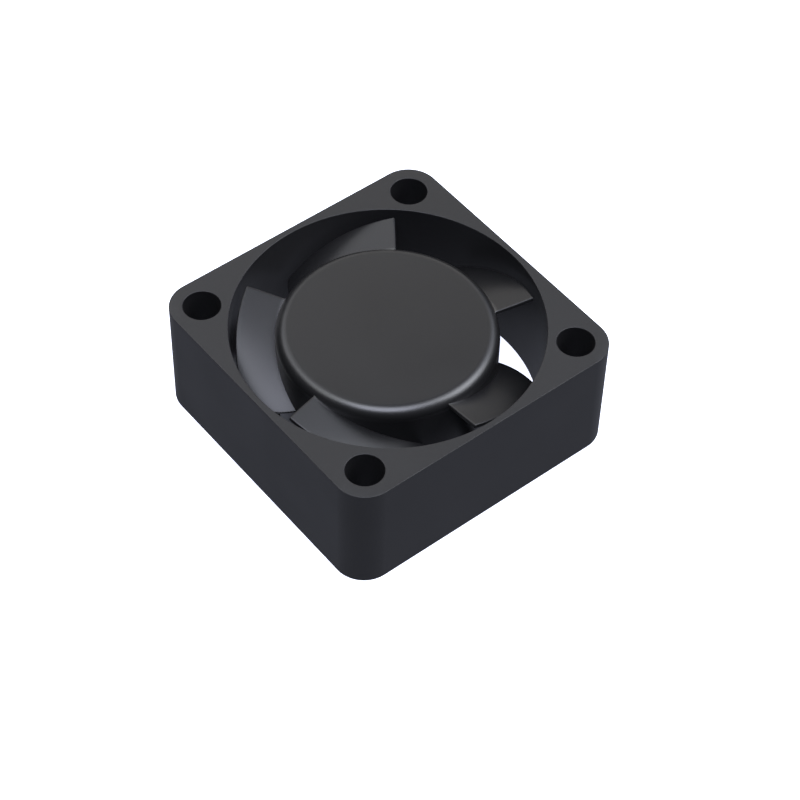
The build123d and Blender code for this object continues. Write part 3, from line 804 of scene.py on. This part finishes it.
FINISH_OF_SLOT = {
    "yoke_steel": drawn_steel,
    "magnet": bonded_ferrite,
    "brass": turned_brass,
    "shaft_steel": ground_steel,
    "spring_steel": spring_wire,
    "bearing_steel": honed_steel,
    "cage_steel": pressed_steel,
    "core_steel": silicon_steel,
    "bobbin_plastic": bobbin_moulding,
    "enamelled_copper": enamelled_wire,
    "board_laminate": masked_laminate,
    "chip_resin": moulded_resin,
    "chip_ceramic": fired_ceramic,
    "tinned_metal": tinned_metal,
}
SLOT_OF_NODE = {part["node"]: part["material_slot"] for part in frame["record"]["subparts"]}
MADE = {}


def made_once(finish):
    """The material of a finish, made the first time it is asked for."""
    if finish not in MADE:
        MADE[finish] = finish()
    return MADE[finish]


def dress(prefixes):
    """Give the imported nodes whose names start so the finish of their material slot."""
    for name, node in frame["nodes"].items():
        if name.startswith(prefixes):
            slot = SLOT_OF_NODE[name]
            node.data.materials.clear()
            node.data.materials.append(made_once(FINISH_OF_SLOT[slot]))


class FAN_OT_rotor_metal(bpy.types.Operator):
    """Finish the flux cup, magnet, boss, shaft, retaining ring and preload spring"""

    bl_idname = "fan.rotor_metal"
    bl_label = "Rotor metal"

    def execute(self, context):
        dress(("rotor_yoke", "rotor_magnet", "shaft", "retaining_ring", "preload_spring"))
        return {"FINISHED"}


class FAN_OT_bearings(bpy.types.Operator):
    """Finish the two ball bearings and their tube"""

    bl_idname = "fan.bearings"
    bl_label = "Bearings"

    def execute(self, context):
        dress(("upper_bearing", "lower_bearing", "bearing_tube"))
        return {"FINISHED"}


class FAN_OT_stator(bpy.types.Operator):
    """Finish the laminations, bobbin halves and terminal pins"""

    bl_idname = "fan.stator"
    bl_label = "Stator"

    def execute(self, context):
        dress(("stator", "upper_insulator", "lower_insulator", "terminal_pins"))
        return {"FINISHED"}


class FAN_OT_board(bpy.types.Operator):
    """Finish the circuit board, its chips, pads and solder"""

    bl_idname = "fan.board"
    bl_label = "Circuit board"

    def execute(self, context):
        dress(("circuit_board", "driver_ic", "chip", "lead_pads", "pin_solder"))
        return {"FINISHED"}


# Floor, lights and camera

LENS_MM = 107.15
SENSOR_MM = 36.0
VIEW_AZIMUTH = -39.764
VIEW_ELEVATION = 49.901
VIEW_ROLL = 1.662
VIEW_DISTANCE = 0.17395
VIEW_TARGET = Vector((-0.003956, -0.006423, 0.010))
CLIP_START = 0.001
FLOOR_SIZE = 3.0
FLOOR_PALE = 0.75
FLOOR_DARK = 0.01
FLOOR_ROUGHNESS = 0.9
MOTTLE_SCALE = 30.0
MOTTLE = 0.02
FLOOR_TINT = (0.78, 0.82, 1.0, 1)
FLOOR_GLOW = 1.0
FLOOR_BOUNCE = 0.31
WORLD_TINT = (0.97, 0.98, 1.0, 1)
WORLD_SEEN = 0.98
WORLD_LIGHT = 0.02

# Softboxes round the fan: azimuth and elevation in degrees, distance and side in metres, watts and tint
SOFTBOXES = {
    "key above the front": (-40.0, 68.0, 0.60, 0.40, 2.9, (0.82, 0.85, 1.0)),
    "front right": (57.0, 58.0, 0.60, 0.35, 1.2, (0.90, 0.93, 1.0)),
    "front left": (-118.0, 62.0, 0.60, 0.35, 0.8, (0.92, 0.95, 0.95)),
    "right": (50.0, 42.0, 0.60, 0.38, 1.6, (0.90, 0.93, 1.0)),
    "far right": (95.0, 42.0, 0.60, 0.35, 0.60, (0.84, 0.88, 1.0)),
    "back": (140.0, 32.0, 0.60, 0.38, 0.50, (1.0, 0.97, 0.93)),
    "back left": (185.0, 50.0, 0.60, 0.42, 1.0, (0.94, 0.95, 1.0)),
}


def sight(azimuth, elevation):
    """Unit vector from the fan towards a viewer at this azimuth and elevation."""
    a, e = radians(azimuth), radians(elevation)
    return Vector((sin(a) * cos(e), -cos(a) * cos(e), sin(e)))


def add_camera(scene):
    """Camera at the photograph's viewing angle."""
    back = sight(VIEW_AZIMUTH, VIEW_ELEVATION)
    right = Vector((cos(radians(VIEW_AZIMUTH)), sin(radians(VIEW_AZIMUTH)), 0))
    up = back.cross(right)
    roll = radians(VIEW_ROLL)
    side = right * cos(roll) + up * sin(roll)
    top = up * cos(roll) - right * sin(roll)
    place = VIEW_TARGET + back * VIEW_DISTANCE
    camera = bpy.data.objects.new("camera", bpy.data.cameras.new("camera"))
    camera.data.lens = LENS_MM
    camera.data.sensor_width = SENSOR_MM
    camera.data.clip_start = CLIP_START
    camera.matrix_world = Matrix(((side.x, top.x, back.x, place.x), (side.y, top.y, back.y, place.y),
                                  (side.z, top.z, back.z, place.z), (0, 0, 0, 1)))
    scene.collection.objects.link(camera)
    scene.camera = camera


def add_softbox(scene, name, azimuth, elevation, distance, side, power, tint):
    """Square area light aimed at the fan."""
    lamp = bpy.data.lights.new(name, "AREA")
    lamp.size = side
    lamp.energy = power
    lamp.color = tint
    obj = bpy.data.objects.new(name, lamp)
    direction = sight(azimuth, elevation)
    obj.location = direction * distance
    obj.rotation_euler = direction.to_track_quat("Z", "Y").to_euler()
    scene.collection.objects.link(obj)


def floor_material():
    """Pale floor with a faint mottle, shown near white, whose even glow also reaches into the duct."""
    made = bpy.data.materials.new("pale floor")
    made.use_nodes = True
    tree = made.node_tree
    shader = tree.nodes["Principled BSDF"]
    seen = tree.nodes.new("ShaderNodeLightPath").outputs["Is Camera Ray"]
    mottle = maths(tree, "MULTIPLY_ADD", noise(tree, object_point(tree), MOTTLE_SCALE), MOTTLE, FLOOR_DARK)
    tree.links.new(maths(tree, "MULTIPLY_ADD", seen, FLOOR_PALE, mottle), shader.inputs["Base Color"])
    shader.inputs["Roughness"].default_value = FLOOR_ROUGHNESS
    shader.inputs["Emission Color"].default_value = FLOOR_TINT
    glow = maths(tree, "MULTIPLY_ADD", seen, FLOOR_GLOW, FLOOR_BOUNCE)
    tree.links.new(glow, shader.inputs["Emission Strength"])
    return made


class FAN_OT_stage(bpy.types.Operator):
    """Add the pale floor, the soft lights and the camera"""

    bl_idname = "fan.stage"
    bl_label = "Stage"

    def execute(self, context):
        scene = context.scene
        bm = bmesh.new()
        bmesh.ops.create_grid(bm, x_segments=1, y_segments=1, size=FLOOR_SIZE / 2)
        mesh = bpy.data.meshes.new("floor")
        bm.to_mesh(mesh)
        bm.free()
        floor = bpy.data.objects.new("floor", mesh)
        mesh.materials.append(floor_material())
        scene.collection.objects.link(floor)
        for name, settings in SOFTBOXES.items():
            add_softbox(scene, name, *settings)
        world = bpy.data.worlds.new("studio")
        world.use_nodes = True
        tree = world.node_tree
        background = tree.nodes["Background"]
        seen = tree.nodes.new("ShaderNodeLightPath").outputs["Is Camera Ray"]
        background.inputs["Color"].default_value = WORLD_TINT
        strength = maths(tree, "MULTIPLY_ADD", seen, WORLD_SEEN, WORLD_LIGHT)
        tree.links.new(strength, background.inputs["Strength"])
        scene.world = world
        scene.view_settings.view_transform = "Standard"
        add_camera(scene)
        return {"FINISHED"}


class FAN_PT_sidebar(bpy.types.Panel):
    """Sizes, colours and build steps of the fan"""

    bl_idname = "FAN_PT_sidebar"
    bl_label = "Cooling fan"
    bl_space_type = "VIEW_3D"
    bl_region_type = "UI"
    bl_category = "Fan"

    def draw(self, context):
        scene = context.scene
        for group in (scene.fan_housing, scene.fan_impeller, scene.fan_windings, scene.fan_colours):
            column = self.layout.column()
            for name in group.__annotations__:
                column.prop(group, name)
        for step in STEPS:
            self.layout.operator(step.bl_idname)


STEPS = (FAN_OT_housing, FAN_OT_impeller, FAN_OT_windings, FAN_OT_rotor_metal, FAN_OT_bearings, FAN_OT_stator,
         FAN_OT_board, FAN_OT_stage)
GROUPS = {"fan_housing": HousingSizes, "fan_impeller": ImpellerSizes, "fan_windings": WindingSizes,
          "fan_colours": FanColours}


def register():
    """Register the add-on's classes and put its sizes and colours on the scene."""
    for cls in (*GROUPS.values(), *STEPS, FAN_PT_sidebar):
        bpy.utils.register_class(cls)
    for name, group in GROUPS.items():
        setattr(bpy.types.Scene, name, PointerProperty(type=group))


def unregister():
    """Take away what register put in place."""
    for name in GROUPS:
        delattr(bpy.types.Scene, name)
    for cls in (FAN_PT_sidebar, *reversed(STEPS), *GROUPS.values()):
        bpy.utils.unregister_class(cls)


def build_fan():
    """Register the add-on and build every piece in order."""
    register()
    bpy.ops.fan.housing()
    bpy.ops.fan.impeller()
    bpy.ops.fan.windings()
    bpy.ops.fan.rotor_metal()
    bpy.ops.fan.bearings()
    bpy.ops.fan.stator()
    bpy.ops.fan.board()
    bpy.ops.fan.stage()
    bpy.context.view_layer.update()


if __name__ == "__main__":
    build_fan()
